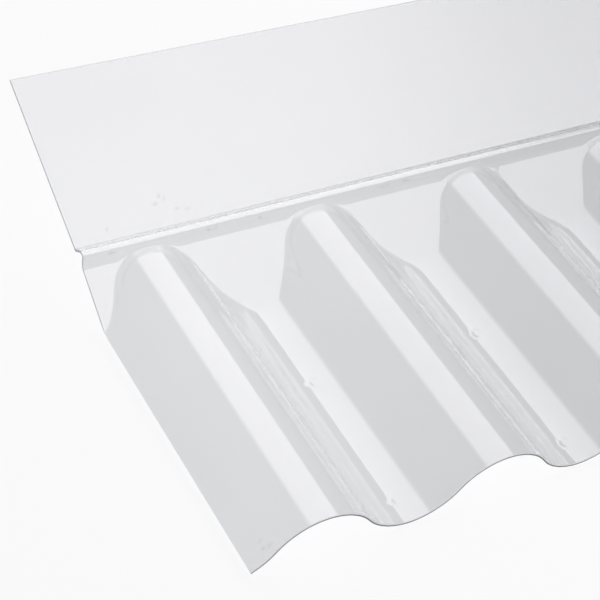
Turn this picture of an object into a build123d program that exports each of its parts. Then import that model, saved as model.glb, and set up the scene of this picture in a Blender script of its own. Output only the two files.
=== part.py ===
from build123d import *
import os
from math import atan, ceil, cos, degrees, radians, sin

# A clear wall flashing for corrugated roofing, formed from one sheet.
# X runs along the wall, +Y points at the wall and +Z is up, in millimetres.
# It lies on the valleys of its apron, with the origin under the middle of its box.

# Sheet
length = 950.0
sheet_thickness = 1.1

# Corrugated apron, which laps over the roofing sheets
pitch = 76.2
wave_height = 19.0
first_crest = 28.0
apron_run = 148.5

# Sloped fillers, which close the valleys under the hinge
filler_slope = 30.7
crease_height = 16.8
foot_radius = 20.0
foot_drop = 0.4
ridge_blend_radius = 2.6

# Hinge bead between the apron and the wall panel
bead_height = 5.9
bead_top = 3.0
bead_width = 7.2
groove_height = 2.85
shoulder_radius = 1.2
groove_radius = 1.2

# Flat panel, which is fixed to the wall
panel_width = 78.0
panel_tilt = 24.3

# Forming blocks, whose gap is the sheet
block_depth = 20.0
block_overrun = 10.0

# Worked-out sizes
half_sheet = sheet_thickness / 2
panel_along = Vector(cos(radians(panel_tilt)), sin(radians(panel_tilt)))
panel_across = Vector(panel_along.Y, -panel_along.X)
panel_reach = bead_width + panel_width * panel_along.X + half_sheet * panel_across.X
full_reach = 2 * (apron_run + panel_reach)
hinge_y = (apron_run - panel_reach) / 2
crease = Vector(hinge_y, half_sheet + crease_height)
slope_along = Vector(cos(radians(filler_slope)), sin(radians(filler_slope)))
flank_angle = degrees(2 * atan(2 * wave_height / pitch))
wave_radius = pitch / (4 * sin(radians(flank_angle)))
waves_before = ceil(first_crest / pitch)
waves_after = ceil((length - first_crest) / pitch)


def sheet_side(shift):
    """Moves the drawn line by shift along the sheet's normal."""
    offset(amount=abs(shift), side=Side.LEFT if shift > 0 else Side.RIGHT, closed=False)


def close_below(section):
    """Closes the drawn line with a block under it."""
    ends = section.vertices().sort_by(Axis.X)
    start = ends[0]
    end = ends[-1]
    Polyline(end, (end.X, -block_depth), (start.X, -block_depth), start)


def forming_block(shift, overrun):
    """Makes one wave's block, from crest to crest, whose top is the sheet's middle moved by shift."""
    ridge_run = (wave_height - crease_height) / slope_along.Y
    slope_end = crease + slope_along * (ridge_run + 2 * ridge_blend_radius + bead_width)
    with BuildPart() as block:
        # Apron
        with BuildSketch(Plane.XZ.offset(-slope_end.X)):
            with BuildLine() as section:
                crest_z = half_sheet + wave_height - wave_radius
                valley_z = half_sheet + wave_radius
                CenterArc((0, crest_z), wave_radius + shift, 90, -flank_angle)
                CenterArc((pitch / 2, valley_z), wave_radius - shift, 270 - flank_angle, 2 * flank_angle)
                CenterArc((pitch, crest_z), wave_radius + shift, 90 + flank_angle, -flank_angle)
                close_below(section)
            make_face()
        extrude(amount=slope_end.X - hinge_y + apron_run + overrun)
        # Filler
        with BuildSketch(Plane.YZ):
            with BuildLine() as section:
                foot = crease - slope_along * ((crease_height + foot_drop) / slope_along.Y)
                FilletPolyline(foot - Vector(2 * foot_radius, 0), foot, slope_end, radius=foot_radius)
                sheet_side(shift)
                close_below(section)
            make_face()
        extrude(amount=pitch)
        # Blend where the ridges run into the filler
        ridge_edges = (
            block.edges()
            .filter_by(GeomType.LINE, reverse=True)
            .filter_by_position(Axis.X, half_sheet, pitch - half_sheet)
            .filter_by_position(Axis.Y, hinge_y - apron_run + half_sheet, slope_end.X - half_sheet)
        )
        fillet(ridge_edges, ridge_blend_radius - shift)
        # Room for the bead
        with Locations((0, hinge_y + bead_width / 2, 0)):
            Box(
                3 * pitch, full_reach, full_reach,
                align=(Align.CENTER, Align.MIN, Align.CENTER), mode=Mode.SUBTRACT,
            )
        # Bead and panel
        with BuildSketch(Plane.YZ):
            with BuildLine() as section:
                root = crease - Vector(0, crease_height / 2)
                shoulder = crease + Vector(0, bead_height)
                back = shoulder + Vector(bead_top, 0)
                groove = crease + Vector(bead_width, groove_height)
                edge = groove + panel_along * (panel_width + overrun)
                FilletPolyline(
                    root, shoulder, back, groove, edge,
                    radius=(shoulder_radius, shoulder_radius, groove_radius),
                )
                sheet_side(shift)
                ends = section.vertices().sort_by(Axis.X)
                start = ends[0]
                end = Vector(ends[-1])
                corner = end + panel_across * (2 * sheet_thickness)
                Polyline(end, corner, (corner.X, -block_depth), (start.X, -block_depth), start)
            make_face()
        extrude(amount=pitch)
    return block.part


# One wave is what lies between the two blocks
with BuildPart() as wave:
    add(forming_block(half_sheet, 0))
    add(forming_block(-half_sheet, block_overrun), mode=Mode.SUBTRACT)

# The flashing is a run of waves, cut to length
crest_places = [first_crest - length / 2 + step * pitch for step in range(-waves_before, waves_after)]
with BuildPart() as wall_flashing:
    with Locations([(place, 0, 0) for place in crest_places]):
        add(wave.part)
    Box(length, full_reach, full_reach, mode=Mode.INTERSECT)

os.makedirs("parts", exist_ok=True)
wall_flashing.part.label = "wall_flashing"
export_step(wall_flashing.part, "parts/wall_flashing.step")
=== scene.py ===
"""Dresses the clear corrugated wall flashing and sets its studio scene."""

import logging
from collections import Counter
from dataclasses import dataclass, field
from enum import Enum
from math import atan, cos, hypot, pi, radians, sin, sqrt, tan
from typing import Any, Union

import bpy
from mathutils import Matrix, Vector


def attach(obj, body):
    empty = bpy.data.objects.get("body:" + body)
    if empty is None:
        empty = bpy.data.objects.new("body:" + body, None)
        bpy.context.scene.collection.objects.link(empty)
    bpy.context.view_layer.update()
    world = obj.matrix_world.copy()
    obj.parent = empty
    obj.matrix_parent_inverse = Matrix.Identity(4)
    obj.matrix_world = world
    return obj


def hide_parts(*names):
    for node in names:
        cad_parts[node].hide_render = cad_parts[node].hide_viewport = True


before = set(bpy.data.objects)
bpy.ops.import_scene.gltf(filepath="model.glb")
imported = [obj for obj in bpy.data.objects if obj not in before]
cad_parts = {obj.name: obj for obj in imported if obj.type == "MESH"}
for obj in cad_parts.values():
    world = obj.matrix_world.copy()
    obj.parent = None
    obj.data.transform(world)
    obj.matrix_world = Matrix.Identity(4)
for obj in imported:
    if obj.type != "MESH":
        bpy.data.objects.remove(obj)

log = logging.getLogger("wall_flashing")

MM = 0.001
NOISE_DETAIL = 2.0

Number = Union[int, float]
Point = tuple[float, float]
Place = tuple[float, float, float]
Grey = tuple[float, float, float]
Colour = tuple[float, float, float, float]

WHITE: Colour = (1.0, 1.0, 1.0, 1.0)
BLACK: Colour = (0.0, 0.0, 0.0, 1.0)


class Face(Enum):
    """The finishes of the sheet's faces, by material slot."""

    SHEET = 0
    CUT_EDGE = 1
    # The front edge's pale upper half, a painted highlight.
    ARRIS = 2


class Socket:
    """A node's output, on which sums are written as Python expressions."""

    def __init__(self, graph: "Graph", output: bpy.types.NodeSocket) -> None:
        """Wraps one output of a node.

        Args:
            graph: the graph that holds the node.
            output: the node's output socket.
        """
        self.graph = graph
        self.output = output

    def _math(self, operation: str, first: Any, second: Any) -> "Socket":
        """Adds a Math node.

        Args:
            operation: the Math node's operation.
            first: the first value or socket.
            second: the second value or socket.

        Returns:
            The node's value.
        """
        return self.graph.add("ShaderNodeMath", {"operation": operation}, {0: first, 1: second})

    def __add__(self, other: Any) -> "Socket":
        """Adds another value."""
        return self._math("ADD", self, other)

    __radd__ = __add__

    def __sub__(self, other: Any) -> "Socket":
        """Takes another value away."""
        return self._math("SUBTRACT", self, other)

    def __rsub__(self, other: Any) -> "Socket":
        """Takes this value away from another."""
        return self._math("SUBTRACT", other, self)

    def __mul__(self, other: Any) -> "Socket":
        """Multiplies by another value."""
        return self._math("MULTIPLY", self, other)

    __rmul__ = __mul__

    def largest(self, other: Any) -> "Socket":
        """Gives the larger of two values."""
        return self._math("MAXIMUM", self, other)

    def smallest(self, other: Any) -> "Socket":
        """Gives the smaller of two values."""
        return self._math("MINIMUM", self, other)


class Graph:
    """A material's or the world's node tree, built up node by node."""

    def __init__(self, tree: bpy.types.NodeTree) -> None:
        """Empties a node tree.

        Args:
            tree: the node tree to build in.
        """
        self.tree = tree
        tree.nodes.clear()

    def add(self, kind: str, settings: dict[str, Any] | None = None, inputs: dict[Any, Any] | None = None,
            output: Union[int, str] = 0) -> Socket | None:
        """Adds a node, sets it up and feeds its sockets.

        Args:
            kind: the node's type.
            settings: the node's own settings, set first.
            inputs: a value or a socket for each input, by name or number.
            output: the name or number of the output to give back.

        Returns:
            The chosen output, or None where the node has no outputs.
        """
        node = self.tree.nodes.new(kind)
        for name, value in (settings or {}).items():
            setattr(node, name, value)
        for key, value in (inputs or {}).items():
            if isinstance(value, Socket):
                self.tree.links.new(value.output, node.inputs[key])
            else:
                node.inputs[key].default_value = value
        return Socket(self, node.outputs[output]) if len(node.outputs) else None

    def axis(self, place: Socket, name: str) -> Socket:
        """Gives the X, Y or Z of a place."""
        return self.add("ShaderNodeSeparateXYZ", None, {0: place}, name)

    def ray(self, kind: str) -> Socket:
        """Tells whether a ray is of a kind, such as Is Camera Ray."""
        return self.add("ShaderNodeLightPath", output=kind)

    def noise(self, place: Socket, scale: Number, output: Union[int, str] = 0) -> Socket:
        """Adds a noise.

        Args:
            place: where the surface is.
            scale: how fine the noise is.
            output: the name or number of the output to give back.

        Returns:
            The noise, as a value or as a colour.
        """
        inputs = {"Vector": place, "Scale": scale, "Detail": NOISE_DETAIL}
        return self.add("ShaderNodeTexNoise", None, inputs, output)

    def ramp(self, value: Socket, low: Union[Number, Socket], high: Union[Number, Socket]) -> Socket:
        """Gives a smooth step from 0 at low to 1 at high.

        Args:
            value: the value to map.
            low: where the step starts.
            high: where the step ends.

        Returns:
            A value from 0 to 1.
        """
        return self.add(
            "ShaderNodeMapRange", {"interpolation_type": "SMOOTHSTEP"},
            {"Value": value, "From Min": low, "From Max": high},
        )

    def tint(self, factor: Any, first: Any, second: Any) -> Socket:
        """Mixes two colours.

        Args:
            factor: how much of the second colour shows.
            first: the first colour.
            second: the second colour.

        Returns:
            The mixed colour.
        """
        return self.add(
            "ShaderNodeMix", {"data_type": "RGBA"},
            {"Factor": factor, "A": first, "B": second}, "Result",
        )


@dataclass(frozen=True)
class Finish:
    """A finish, which is made as a node material."""

    name: str

    def surface(self, graph: Graph, place: Socket) -> Socket:
        """Builds the finish's shader.

        Args:
            graph: the material's graph.
            place: where the surface is.

        Returns:
            The shader.
        """
        raise NotImplementedError

    def material(self) -> bpy.types.Material:
        """Makes the material.

        Returns:
            The finish's material.
        """
        made = bpy.data.materials.new(self.name)
        made.use_nodes = True
        graph = Graph(made.node_tree)
        place = graph.add("ShaderNodeTexCoord", output="Object")
        graph.add("ShaderNodeOutputMaterial", None, {"Surface": self.surface(graph, place)})
        return made


@dataclass(frozen=True)
class Scuff:
    """A small dull mark on the sheet, in millimetres."""

    place: Place
    size: Place
    depth: float
    core: float = 0.7

    def mask(self, graph: Graph, place: Socket) -> Socket:
        """Shows where the mark is.

        Args:
            graph: the material's graph.
            place: where the surface is, in millimetres.

        Returns:
            The mark's depth inside it, and 0 outside.
        """
        away = graph.add("ShaderNodeVectorMath", {"operation": "SUBTRACT"}, {0: place, 1: self.place})
        scaled = graph.add("ShaderNodeVectorMath", {"operation": "DIVIDE"}, {0: away, 1: self.size})
        span = graph.add("ShaderNodeVectorMath", {"operation": "LENGTH"}, {0: scaled}, "Value")
        return graph.ramp(span, 1.0, self.core) * self.depth


PANEL_SCUFFS = (
    Scuff((-436.9, 52.1, 25.4), (1.6, 0.9, 1.3), 0.19),
    Scuff((-433.9, 55.0, 26.6), (0.7, 1.7, 1.3), 0.18),
    Scuff((-432.2, 53.2, 25.8), (1.0, 0.9, 1.3), 0.14),
    Scuff((-427.9, 48.6, 23.7), (1.1, 0.8, 1.3), 0.19),
    Scuff((-424.0, 47.5, 23.2), (2.6, 0.7, 1.3), 0.10),
    Scuff((-419.9, 46.1, 22.7), (1.6, 0.6, 1.3), 0.13),
    Scuff((-460.0, 47.0, 23.0), (0.9, 0.7, 1.3), 0.15),
    Scuff((-222.3, 47.8, 23.3), (1.2, 0.8, 1.3), 0.18),
)
BEAD_SCUFFS = (
    Scuff((-420.1, 34.4, 21.2), (1.6, 3.0, 0.5), 0.20),
    Scuff((-417.0, 34.4, 20.9), (0.7, 3.0, 0.6), 0.15),
    Scuff((-396.7, 34.4, 21.2), (0.7, 3.0, 0.7), 0.24),
    Scuff((-338.2, 34.4, 21.1), (1.2, 3.0, 0.5), 0.22),
    Scuff((-335.5, 34.4, 21.4), (0.7, 3.0, 0.7), 0.17),
    Scuff((-326.7, 34.4, 21.3), (2.0, 3.0, 0.5), 0.20),
    Scuff((-462.6, 34.4, 21.4), (2.6, 3.0, 0.5), 0.22),
)
APRON_SCUFFS = (
    Scuff((-468.4, -108.8, 8.0), (0.9, 1.0, 1.4), 0.13),
    Scuff((-467.8, -105.6, 8.6), (0.7, 0.8, 1.3), 0.09),
    Scuff((-466.6, -109.6, 10.0), (1.8, 1.6, 1.6), 0.06),
)


@dataclass(frozen=True)
class ClearSheet(Finish):
    """Clear rigid PVC with faint clouds and draw lines, a few scuffs, and a dark line of painted shade in
    the groove behind the bead.
    """

    name: str = "clear_sheet"
    tint: Colour = (0.872, 0.880, 0.883, 1.0)
    haze: Colour = (0.854, 0.863, 0.867, 1.0)
    # The colour of the scuffs and of the painted shade in the groove.
    mark: Colour = (0.16, 0.17, 0.18, 1.0)
    shade: Colour = (0.90, 0.91, 0.92, 1.0)
    refraction: float = 1.53
    roughness: float = 0.04
    cloud_scale: float = 9.0
    cloud_span: tuple[float, float] = (0.35, 0.65)
    cloud_dulling: float = 0.02
    # How much the scuffs and the painted groove shade dull the sheet.
    mark_dulling: float = 0.3
    line_scale: Place = (150.0, 2.0, 30.0)
    line_strength: float = 0.15
    line_depth: float = 0.012 * MM
    lines_end: float = 32 * MM
    lines_fade: float = 12 * MM
    # The painted shade in the groove behind the bead: how deep it is, how much deeper it grows, where it
    # lies and how it widens.
    painted_groove_shade: float = 0.34
    painted_groove_shade_rise: float = 0.22
    painted_groove_shade_front: float = 41.9 * MM
    painted_groove_shade_back: float = 42.8 * MM
    painted_groove_shade_edge: float = 0.5 * MM
    painted_groove_shade_spread: float = 2.9 * MM
    painted_groove_shade_widens: tuple[float, float] = (-460 * MM, -210 * MM)
    scuffs: tuple[Scuff, ...] = PANEL_SCUFFS + BEAD_SCUFFS + APRON_SCUFFS
    ragged_scale: float = 900.0
    ragged_reach_mm: float = 2.0

    def surface(self, graph: Graph, place: Socket) -> Socket:
        """Builds the clear sheet's shader, through which lamps shine.

        Args:
            graph: the material's graph.
            place: where the surface is.

        Returns:
            The shader.
        """
        clouds = graph.noise(place, self.cloud_scale)
        # The scuffs are real marks; the dark line in the groove is painted shade.
        scuffs_and_groove_shade = self._scuff_marks(graph, place).largest(self._painted_groove_shade(graph, place))
        lines = self._draw_lines(graph, place)
        bump = graph.add(
            "ShaderNodeBump", None,
            {"Strength": self.line_strength, "Distance": self.line_depth, "Height": lines}, "Normal",
        )
        clean = graph.tint(graph.ramp(clouds, *self.cloud_span), self.tint, self.haze)
        roughness = clouds * self.cloud_dulling + scuffs_and_groove_shade * self.mark_dulling + self.roughness
        sheet = graph.add(
            "ShaderNodeBsdfPrincipled", None,
            {"Base Color": graph.tint(scuffs_and_groove_shade, clean, self.mark), "Roughness": roughness,
             "IOR": self.refraction, "Transmission Weight": 1.0, "Normal": bump},
        )
        lamp_way = graph.add("ShaderNodeBsdfTransparent", None, {"Color": self.shade})
        shadow = graph.ray("Is Shadow Ray")
        return graph.add("ShaderNodeMixShader", None, {0: shadow, 1: sheet, 2: lamp_way})

    def _scuff_marks(self, graph: Graph, place: Socket) -> Socket:
        """Makes the scuffs, with ragged edges.

        Args:
            graph: the material's graph.
            place: where the surface is.

        Returns:
            How deep the scuffs are, from 0 to 1.
        """
        reach = self.ragged_reach_mm
        ragged = graph.noise(place, self.ragged_scale, "Color")
        moved = graph.add(
            "ShaderNodeVectorMath", {"operation": "MULTIPLY_ADD"},
            {0: ragged, 1: (2 * reach,) * 3, 2: (-reach,) * 3},
        )
        scaled = graph.add(
            "ShaderNodeVectorMath", {"operation": "MULTIPLY_ADD"},
            {0: place, 1: (1 / MM,) * 3, 2: moved},
        )
        deepest = self.scuffs[0].mask(graph, scaled)
        for scuff in self.scuffs[1:]:
            deepest = deepest.largest(scuff.mask(graph, scaled))
        return deepest

    def _painted_groove_shade(self, graph: Graph, place: Socket) -> Socket:
        """Paints a thin dark line of shade in the groove behind the bead, which widens and darkens away from
        the left end.

        Args:
            graph: the material's graph.
            place: where the surface is.

        Returns:
            How deep the painted shade is, from 0 to 1.
        """
        back = graph.axis(place, "Y")
        wide = graph.ramp(graph.axis(place, "X"), *self.painted_groove_shade_widens)
        front = self.painted_groove_shade_front - wide * self.painted_groove_shade_spread
        band = graph.ramp(back, front, front + self.painted_groove_shade_edge)
        band = band * graph.ramp(back, self.painted_groove_shade_back, self.painted_groove_shade_back - self.painted_groove_shade_edge)
        return band * (wide * self.painted_groove_shade_rise + self.painted_groove_shade)

    def _draw_lines(self, graph: Graph, place: Socket) -> Socket:
        """Makes the faint lines that forming draws along the ridges.

        Args:
            graph: the material's graph.
            place: where the surface is.

        Returns:
            A height from 0 to 1.
        """
        across = graph.add("ShaderNodeMapping", None, {"Vector": place, "Scale": self.line_scale})
        apron = graph.ramp(graph.axis(place, "Y"), self.lines_end, self.lines_end - self.lines_fade)
        return graph.noise(across, 1.0) * apron


@dataclass(frozen=True)
class CutEdge(Finish):
    """The sawn edge of the sheet, which is grey and darker than its faces, with painted shade that makes it
    darkest at the front.
    """

    name: str = "cut_edge_painted_shade"
    # The front grey is painted shade, far darker than the sides' grey.
    front: Grey = (0.14, 0.145, 0.15)
    sides: Grey = (0.50, 0.51, 0.52)
    change: tuple[float, float] = (-112 * MM, -110 * MM)
    worn: float = 0.8
    grain_scale: float = 900.0
    roughness: float = 0.35

    def surface(self, graph: Graph, place: Socket) -> Socket:
        """Builds the edge's shader.

        Args:
            graph: the material's graph.
            place: where the surface is.

        Returns:
            The shader.
        """
        grain = graph.noise(place, self.grain_scale)
        front, sides = (self._grained(graph, grain, grey) for grey in (self.front, self.sides))
        # Painted shade: darkest on the front edge, lighter on the sides.
        colour = graph.tint(graph.ramp(graph.axis(place, "Y"), *self.change), front, sides)
        return graph.add(
            "ShaderNodeBsdfPrincipled", None, {"Base Color": colour, "Roughness": self.roughness},
        )

    def _grained(self, graph: Graph, grain: Socket, grey: Grey) -> Socket:
        """Gives a grey that is darker where the saw wore it.

        Args:
            graph: the material's graph.
            grain: the saw's grain, from 0 to 1.
            grey: the lightest grey.

        Returns:
            The colour.
        """
        dark = tuple(self.worn * value for value in grey)
        return graph.tint(grain, (*dark, 1.0), (*grey, 1.0))


@dataclass(frozen=True)
class StudioWhite(Finish):
    """The white of the studio floor, which keeps a faint shadow and has painted shade where it is seen
    through the sheet.
    """

    name: str = "studio_white_painted_shade"
    white: Colour = (0.962, 0.962, 0.964, 1.0)
    # Painted shade on the floor seen through the sheet: light at first, and deepest (under) towards positive
    # x.
    painted_shade_light: Colour = (0.798, 0.798, 0.800, 1.0)
    under: Colour = (0.56, 0.565, 0.565, 1.0)
    matt: Colour = (0.86, 0.86, 0.87, 1.0)
    painted_shade_way: Place = (0.9, -0.43, 0.0)
    painted_shade_span: tuple[float, float] = (-0.40, -0.16)
    share: float = 0.88

    def surface(self, graph: Graph, place: Socket) -> Socket:
        """Builds the floor's shader, with painted shade where it is seen through the sheet, deeper towards
        positive x.

        Args:
            graph: the material's graph.
            place: where the surface is.

        Returns:
            The shader.
        """
        along = graph.add(
            "ShaderNodeVectorMath", {"operation": "DOT_PRODUCT"}, {0: place, 1: self.painted_shade_way}, "Value",
        )
        # Painted shade, shown only to rays that come through the sheet.
        painted_floor_shade = graph.tint(graph.ramp(along, *self.painted_shade_span), self.painted_shade_light, self.under)
        colour = graph.tint(graph.ray("Is Transmission Ray"), self.white, painted_floor_shade)
        matt = graph.add("ShaderNodeBsdfDiffuse", None, {"Color": self.matt})
        glow = graph.add("ShaderNodeEmission", None, {"Color": colour})
        seen = seen_rays(graph, 1.0) * self.share
        return graph.add("ShaderNodeMixShader", None, {0: seen, 1: matt, 2: glow})


# A pale grey on the front edge's upper half, a painted highlight along the arris.
PAINTED_ARRIS_HIGHLIGHT_GREY: Grey = (0.88, 0.885, 0.89)
FINISHES: dict[Face, Finish] = {
    Face.SHEET: ClearSheet(),
    Face.CUT_EDGE: CutEdge(),
    Face.ARRIS: CutEdge(name="edge_arris_painted_highlight", front=PAINTED_ARRIS_HIGHLIGHT_GREY, sides=PAINTED_ARRIS_HIGHLIGHT_GREY),
}


def seen_rays(graph: Graph, mirrored: Number) -> Socket:
    """Tells which rays show the white background.

    Args:
        graph: the graph to work in.
        mirrored: how much of the white a reflection shows.

    Returns:
        1 for camera and transmitted rays, mirrored for glossy ones, else 0.
    """
    straight = graph.ray("Is Camera Ray") + graph.ray("Is Transmission Ray")
    return straight.largest(graph.ray("Is Glossy Ray") * mirrored).smallest(1.0)


def deselect_all() -> None:
    """Leaves object mode with nothing selected."""
    if bpy.context.object and bpy.context.object.mode != "OBJECT":
        bpy.ops.object.mode_set(mode="OBJECT")
    bpy.ops.object.select_all(action="DESELECT")


def smooth_step(low: float, high: float, value: float) -> float:
    """Gives a smooth step from 0 at low to 1 at high.

    Args:
        low: where the step starts.
        high: where the step ends.
        value: the value to map.

    Returns:
        A value from 0 to 1.
    """
    share = min(max((value - low) / (high - low), 0.0), 1.0)
    return share * share * (3 - 2 * share)


def bezier(points: list[Point], share: float) -> Point:
    """Gives a point on a Bezier curve.

    Args:
        points: the curve's control points.
        share: how far along the curve, from 0 to 1.

    Returns:
        The point.
    """
    while len(points) > 1:
        points = [
            (a[0] + (b[0] - a[0]) * share, a[1] + (b[1] - a[1]) * share) for a, b in zip(points, points[1:])
        ]
    return points[0]


def toward(start: Point, end: Point, distance: float) -> Point:
    """Gives the point at a distance from start on the way to end.

    Args:
        start: where the way starts.
        end: where the way goes.
        distance: how far along it.

    Returns:
        The point.
    """
    run = hypot(end[0] - start[0], end[1] - start[1])
    return (start[0] + (end[0] - start[0]) * distance / run, start[1] + (end[1] - start[1]) * distance / run)


@dataclass(frozen=True)
class Pip:
    """A low round rim in each valley, left by forming."""

    away: float
    radius: float = 2.3 * MM
    rise: float = 0.2 * MM
    edge: float = 0.9 * MM

    def height(self, across: float, along: float) -> float:
        """Gives how far the rim stands up.

        Args:
            across: the distance from the valley's middle.
            along: the distance from the bead's face, which is below 0 on the apron.

        Returns:
            The rise over the valley.
        """
        off = (hypot(across, along + self.away) - self.radius) / self.edge
        return self.rise * max(1 - off * off, 0.0) ** 2


@dataclass
class FlashingSheet:
    """The whole flashing, which is one formed sheet."""

    # Sizes of the sheet, as in the solid
    length: float = 950 * MM
    thickness: float = 1.1 * MM
    pitch: float = 76.2 * MM
    wave_height: float = 19 * MM
    first_crest: float = 28 * MM
    apron_run: float = 148.5 * MM
    filler_slope: float = radians(30.7)
    crease_height: float = 16.8 * MM
    bead_height: float = 5.9 * MM
    bead_top: float = 3 * MM
    bead_width: float = 7.2 * MM
    groove_height: float = 2.85 * MM
    panel_width: float = 78 * MM
    panel_tilt: float = radians(24.3)

    # How far each bend reaches from its corner
    shoulder_reach: float = 1.2 * MM
    back_reach: float = 0.8 * MM
    groove_reach: float = 0.3 * MM
    crease_reach: float = 1.7 * MM
    crest_reach: float = 5 * MM
    flank_reach: float = 2 * MM
    foot_reach: float = 5.5 * MM

    # Where the bends of the filler change
    foot_fade: float = 8 * MM
    crest_fade: float = 3 * MM
    leg_span: tuple[float, float] = (3 * MM, 10 * MM)
    shortest_leg: float = 1 * MM
    bend_share: float = 0.48
    face_gap: float = 0.3 * MM
    face_share: float = 0.92

    # Rows and columns of the mesh
    fine_step: float = 0.65 * MM
    fine_steps: int = 5
    steep_reach: float = 6 * MM
    half_wave: tuple[int, int, int] = (3, 11, 5)
    apron_step: float = 14 * MM
    filler_steps: int = 2
    rows: dict[str, int] = field(default_factory=lambda: {
        "lap": 3, "filler": 24, "face": 2, "shoulder": 5, "top": 2,
        "back": 3, "fall": 2, "groove": 3, "panel": 4,
    })
    smooth_angle: float = radians(50)
    pips: tuple[Pip, ...] = (Pip(138.1 * MM), Pip(74.6 * MM))

    # Worked-out sizes
    wave_radius: float = field(init=False)
    hinge_y: float = field(init=False)
    fine: list[float] = field(init=False)
    apron_places: list[float] = field(init=False)

    def __post_init__(self) -> None:
        """Works out the sizes that follow from the others."""
        flank_angle = 2 * atan(2 * self.wave_height / self.pitch)
        self.wave_radius = self.pitch / (4 * sin(flank_angle))
        reach = self.bead_width + self.panel_width * cos(self.panel_tilt)
        reach += self.thickness / 2 * sin(self.panel_tilt)
        self.hinge_y = (self.apron_run - reach) / 2
        self.fine = [step * self.fine_step for step in range(-self.fine_steps, self.fine_steps + 1)]
        self.apron_places = self._apron_places()

    def _apron_places(self) -> list[float]:
        """Gives the rows of the apron, which are close together at the pips.

        Returns:
            Distances from the bead's face, from the front edge on.
        """
        reach = self.fine[-1]
        places = [step - pip.away for pip in self.pips for step in self.fine]
        for row in range(int(self.apron_run / self.apron_step) - self.filler_steps):
            place = row * self.apron_step - self.apron_run
            if all(abs(place + pip.away) > 2 * reach for pip in self.pips):
                places.append(place)
        return sorted(places)

    def columns(self) -> list[float]:
        """Gives the columns of the sheet, which are close together at the pips and on the steep flanks.

        Returns:
            Places along the wall, from end to end.
        """
        flank = self.pitch / 4
        ends = [self.fine[-1], flank - self.steep_reach, flank + self.steep_reach, self.pitch / 2]
        half = self.fine[self.fine_steps + 1:]
        for start, end, count in zip(ends, ends[1:], self.half_wave):
            half += [start + (end - start) * step / count for step in range(1, count + 1)]
        wave = [-place for place in reversed(half[:-1])] + [0.0] + half
        places = []
        valley = self.first_crest - self.pitch / 2
        while valley < self.length:
            places += [valley + step for step in wave]
            valley += self.pitch
        inside = [place for place in places if self.fine_step / 2 < place < self.length - self.fine_step / 2]
        return [place - self.length / 2 for place in [0.0] + inside + [self.length]]

    def from_crest(self, x: float) -> float:
        """Gives the distance to the nearest crest.

        Args:
            x: the place along the wall.

        Returns:
            The distance.
        """
        turn = (x + self.length / 2 - self.first_crest) / self.pitch
        return abs(turn - round(turn)) * self.pitch

    def wave(self, x: float) -> float:
        """Gives the corrugation's height.

        Args:
            x: the place along the wall.

        Returns:
            The height of the sheet's middle over its valleys.
        """
        away = self.from_crest(x)
        radius = self.wave_radius
        if away < self.pitch / 4:
            return self.wave_height - radius + sqrt(radius ** 2 - away ** 2)
        return radius - sqrt(radius ** 2 - (away - self.pitch / 2) ** 2)

    def run(self, name: str, *corners: Point) -> list[Point]:
        """Gives the rows of one stretch of the section, without its end.

        Args:
            name: the stretch's name in rows.
            corners: the corners of its curve.

        Returns:
            The points.
        """
        count = self.rows[name]
        return [bezier(list(corners), step / count) for step in range(count)]

    def apron_points(self, x: float) -> list[Point]:
        """Gives the apron from its front edge, with its pips.

        Args:
            x: the place along the wall.

        Returns:
            The points.
        """
        height = self.wave(x)
        across = self.pitch / 2 - self.from_crest(x)
        return [
            (away, height + sum(pip.height(across, away) for pip in self.pips))
            for away in self.apron_places
        ]

    def filler_points(self, height: float) -> list[Point]:
        """Gives the bend from the apron up the filler to the bead's face.

        Args:
            height: the corrugation's height here.

        Returns:
            The points, from the apron to the bead.
        """
        count = self.rows["filler"]
        crease = (0.0, max(self.crease_height, height))
        rise = crease[1] - height
        foot = (-rise / tan(self.filler_slope), height)
        leg = rise / sin(self.filler_slope)
        low = min(height / self.foot_fade, 1.0)
        high = smooth_step(self.crease_height - self.crest_fade, self.wave_height, height)
        reach = self.flank_reach + (self.foot_reach - self.flank_reach) * (1 - low) ** 2
        reach += (self.crest_reach - self.flank_reach) * high
        start = (foot[0] - reach, height)
        end = self.face_start(height)
        loose = [bezier([start, foot, crease, end], step / count) for step in range(count)]
        if leg < self.shortest_leg:
            return loose
        foot_end = toward(foot, crease, min(reach, self.bend_share * leg))
        crease_start = toward(crease, foot, min(self.crease_reach, self.bend_share * leg))
        bends = count // 3
        straight = count - 2 * bends
        tight = [bezier([start, foot, foot_end], step / bends) for step in range(bends)]
        tight += [bezier([foot_end, crease_start], step / straight) for step in range(straight)]
        tight += [bezier([crease_start, crease, end], step / bends) for step in range(bends)]
        share = smooth_step(*self.leg_span, leg)
        return [bezier([a, b], share) for a, b in zip(loose, tight)]

    def face_start(self, height: float) -> Point:
        """Gives where the bead's flat face starts.

        Args:
            height: the corrugation's height here.

        Returns:
            The point.
        """
        low = max(self.crease_height, height)
        room = self.crease_height + self.bead_height - self.shoulder_reach - low
        return (0.0, low + min(self.crease_reach + self.face_gap, self.face_share * room))

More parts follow.
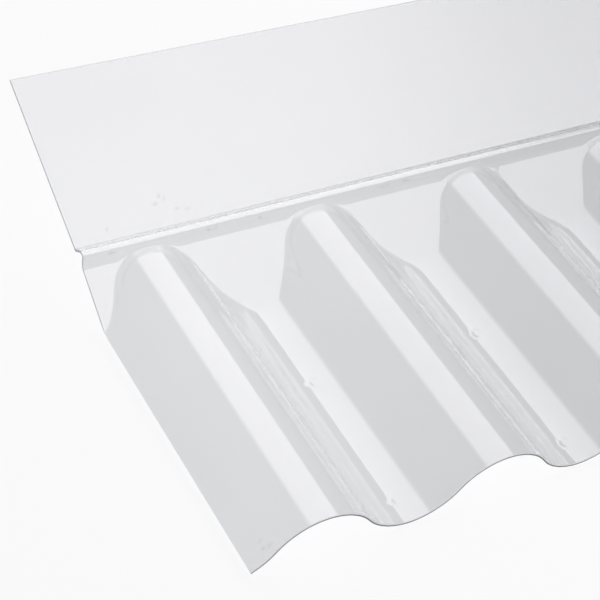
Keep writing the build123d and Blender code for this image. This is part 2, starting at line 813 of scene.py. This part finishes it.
    def hinge_points(self, height: float) -> list[Point]:
        """Gives the bead and the panel, from the bead's face to the panel's edge.

        Args:
            height: the corrugation's height here.

        Returns:
            The points.
        """
        top = self.crease_height + self.bead_height
        shoulder = (0.0, top)
        back = (self.bead_top, top)
        groove = (self.bead_width, self.crease_height + self.groove_height)
        edge = (
            groove[0] + self.panel_width * cos(self.panel_tilt),
            groove[1] + self.panel_width * sin(self.panel_tilt),
        )
        face_end = (0.0, top - self.shoulder_reach)
        top_start = toward(shoulder, back, self.shoulder_reach)
        top_end = toward(back, shoulder, self.back_reach)
        fall_start = toward(back, groove, self.back_reach)
        fall_end = toward(groove, back, self.groove_reach)
        panel_start = toward(groove, edge, self.groove_reach)
        points = self.run("face", self.face_start(height), face_end)
        points += self.run("shoulder", face_end, shoulder, top_start)
        points += self.run("top", top_start, top_end)
        points += self.run("back", top_end, back, fall_start)
        points += self.run("fall", fall_start, fall_end)
        points += self.run("groove", fall_end, groove, panel_start)
        points += self.run("panel", panel_start, edge)
        return points + [edge]

    def section(self, x: float) -> list[Point]:
        """Gives the sheet's middle from its front edge to the panel's edge.

        Args:
            x: the place along the wall.

        Returns:
            Points of distance from the bead's face and height over the valleys.
        """
        height = self.wave(x)
        *apron, apron_end = self.apron_points(x)
        filler = self.filler_points(height)
        return apron + self.run("lap", apron_end, filler[0]) + filler + self.hinge_points(height)

    def build(self) -> bpy.types.Object:
        """Shapes the sheet from a grid and gives it its thickness and finishes.

        Returns:
            The sheet.
        """
        deselect_all()
        columns = self.columns()
        sections = [self.section(x) for x in columns]
        across, along = len(columns) - 1, len(sections[0]) - 1
        bpy.ops.mesh.primitive_grid_add(x_subdivisions=across, y_subdivisions=along, size=1)
        sheet = bpy.context.object
        sheet.name = "formed_sheet"
        for vertex in sheet.data.vertices:
            column = round((vertex.co.x + 0.5) * across)
            away, height = sections[column][round((vertex.co.y + 0.5) * along)]
            vertex.co = (columns[column], self.hinge_y + away, self.thickness / 2 + height)
        for face in Face:
            sheet.data.materials.append(FINISHES[face].material())
        bpy.ops.object.modifier_add(type="SOLIDIFY")
        wall = sheet.modifiers[-1]
        wall.thickness = self.thickness
        wall.offset = 0.0
        wall.use_even_offset = True
        wall.material_offset_rim = Face.CUT_EDGE.value
        bpy.ops.object.modifier_apply(modifier=wall.name)
        self.split_front_edge(sheet)
        for face in sheet.data.polygons:
            if face.material_index == Face.CUT_EDGE.value:
                face.material_index = self.edge_finish(face).value
        bpy.ops.object.shade_smooth_by_angle(angle=self.smooth_angle)
        log.info("%s: %d triangles", sheet.name, sum(len(face.vertices) - 2 for face in sheet.data.polygons))
        return sheet

    def split_front_edge(self, sheet: bpy.types.Object) -> None:
        """Cuts the front edge's faces in two along the middle of the sheet, so that the upper half can take
        the painted highlight.

        Args:
            sheet: the sheet, with its thickness.
        """
        front = self.hinge_y - self.apron_run + self.thickness / 4
        bpy.ops.object.mode_set(mode="EDIT")
        bpy.ops.mesh.select_mode(type="EDGE")
        bpy.ops.mesh.select_all(action="DESELECT")
        bpy.ops.object.mode_set(mode="OBJECT")
        rims = Counter(
            key for face in sheet.data.polygons if face.material_index == Face.CUT_EDGE.value
            for key in face.edge_keys
        )
        for edge in sheet.data.edges:
            ends = [sheet.data.vertices[end].co.y for end in edge.vertices]
            edge.select = rims[edge.key] == 2 and max(ends) < front
        bpy.ops.object.mode_set(mode="EDIT")
        bpy.ops.mesh.subdivide(number_cuts=1)
        bpy.ops.object.mode_set(mode="OBJECT")

    def edge_finish(self, face: bpy.types.MeshPolygon) -> Face:
        """Chooses the finish of a face of the sheet's edge.

        Args:
            face: a face of the edge.

        Returns:
            Clear on the panel's edge, a pale painted highlight on the front edge's upper half, and else
            sawn.
        """
        if abs(face.normal.x) > abs(face.normal.y):
            return Face.CUT_EDGE
        if face.normal.y > 0:
            return Face.SHEET
        middle = self.thickness / 2 + self.wave(face.center.x)
        return Face.ARRIS if face.center.z > middle else Face.CUT_EDGE

    def dress(self, sheet: bpy.types.Object) -> None:
        """Puts the sheet in the frame in place of its solid.

        Args:
            sheet: the sheet.
        """
        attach(sheet, "root")
        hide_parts("wall_flashing")


@dataclass
class Studio:
    """The white floor, the soft lamps and the camera."""

    # Camera, fitted to the photograph
    place: Place = (-0.693095, -0.414809, 0.477201)
    turn: float = -0.624225
    tilt: float = 0.746177
    roll: float = 0.187334
    focal: float = 1724.698
    frame_width: float = 600.0
    sensor_width: float = 36.0
    nearest: float = 0.01

    # Floor and room
    floor_size: float = 40.0
    floor_drop: float = 0.4 * MM
    surround: float = 0.5
    mirrored: float = 0.3

    # Softbox, whose left edge fades in strips
    softbox_low: Point = (-0.5, -0.8)
    softbox_high: Point = (0.88, 1.75)
    softbox_height: float = 1.2
    radiance: float = 1.88
    lamp_colour: Grey = (1.0, 0.965, 1.04)
    edge_strips: int = 3
    edge_width: float = 0.04
    edge_fall: float = 0.24

    # How many times light may bounce
    bounces: int = 24
    more_bounces: int = 8

    def camera(self) -> None:
        """Stands the camera where the photograph was taken."""
        data = bpy.data.cameras.new("camera")
        data.sensor_width = self.sensor_width
        data.lens = self.sensor_width * self.focal / self.frame_width
        data.clip_start = self.nearest
        ahead = Vector((-sin(self.turn) * cos(self.tilt), cos(self.turn) * cos(self.tilt), -sin(self.tilt)))
        side = Vector((cos(self.turn), sin(self.turn), 0.0))
        up = side.cross(ahead)
        right = cos(self.roll) * side + sin(self.roll) * up
        above = cos(self.roll) * up - sin(self.roll) * side
        turned = Matrix((right, above, -ahead)).transposed().to_4x4()
        camera = bpy.data.objects.new("camera", data)
        camera.matrix_world = Matrix.Translation(self.place) @ turned
        bpy.context.scene.collection.objects.link(camera)
        bpy.context.scene.camera = camera

    def floor(self) -> None:
        """Lays the floor just under the sheet."""
        deselect_all()
        bpy.ops.mesh.primitive_plane_add(size=self.floor_size, location=(0.0, 0.0, -self.floor_drop))
        floor = bpy.context.object
        floor.name = "studio_floor"
        floor.data.materials.append(StudioWhite().material())

    def lamp(self, name: str, low: Point, high: Point, radiance: float) -> None:
        """Hangs a level soft lamp.

        Args:
            name: the lamp's name.
            low: its lowest x and y.
            high: its highest x and y.
            radiance: how bright its face is, where 1 is white.
        """
        data = bpy.data.lights.new(name, "AREA")
        data.shape = "RECTANGLE"
        data.color = self.lamp_colour
        data.size = high[0] - low[0]
        data.size_y = high[1] - low[1]
        data.energy = pi * data.size * data.size_y * radiance
        lamp = bpy.data.objects.new(name, data)
        lamp.location = ((low[0] + high[0]) / 2, (low[1] + high[1]) / 2, self.softbox_height)
        bpy.context.scene.collection.objects.link(lamp)

    def softbox(self) -> None:
        """Hangs the softbox and the strips of its fading edge."""
        low, high = self.softbox_low, self.softbox_high
        self.lamp("ceiling_softbox", low, high, self.radiance)
        for step in range(self.edge_strips):
            right = low[0] - self.edge_width * step
            share = self.edge_fall * (self.edge_strips - step)
            self.lamp(
                f"softbox_edge_{step + 1}", (right - self.edge_width, low[1]), (right, high[1]),
                self.radiance * share,
            )

    def world(self) -> None:
        """Makes the room white to look at and plain grey to light with."""
        world = bpy.data.worlds.new("studio_room")
        bpy.context.scene.world = world
        world.use_nodes = True
        graph = Graph(world.node_tree)
        grey = (self.surround, self.surround, self.surround, 1.0)
        unseen = graph.tint(graph.ray("Is Glossy Ray"), grey, BLACK)
        colour = graph.tint(seen_rays(graph, self.mirrored), unseen, WHITE)
        room = graph.add("ShaderNodeBackground", None, {"Color": colour})
        graph.add("ShaderNodeOutputWorld", None, {"Surface": room})

    def light_paths(self) -> None:
        """Lets light run on inside the clear sheet, where it is reflected many times before it comes out."""
        paths = bpy.context.scene.cycles
        paths.max_bounces = self.bounces + self.more_bounces
        paths.glossy_bounces = self.bounces
        paths.transmission_bounces = self.bounces

    def build(self) -> None:
        """Sets up the whole studio."""
        self.floor()
        self.softbox()
        self.world()
        self.camera()
        self.light_paths()
        bpy.context.scene.view_settings.view_transform = "Standard"


def main() -> None:
    """Builds the flashing and its studio, and notes how many triangles the sheet has."""
    logging.basicConfig(level=logging.INFO, format="%(name)s: %(message)s")
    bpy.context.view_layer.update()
    flashing = FlashingSheet()
    flashing.dress(flashing.build())
    Studio().build()


if __name__ == "__main__":
    main()
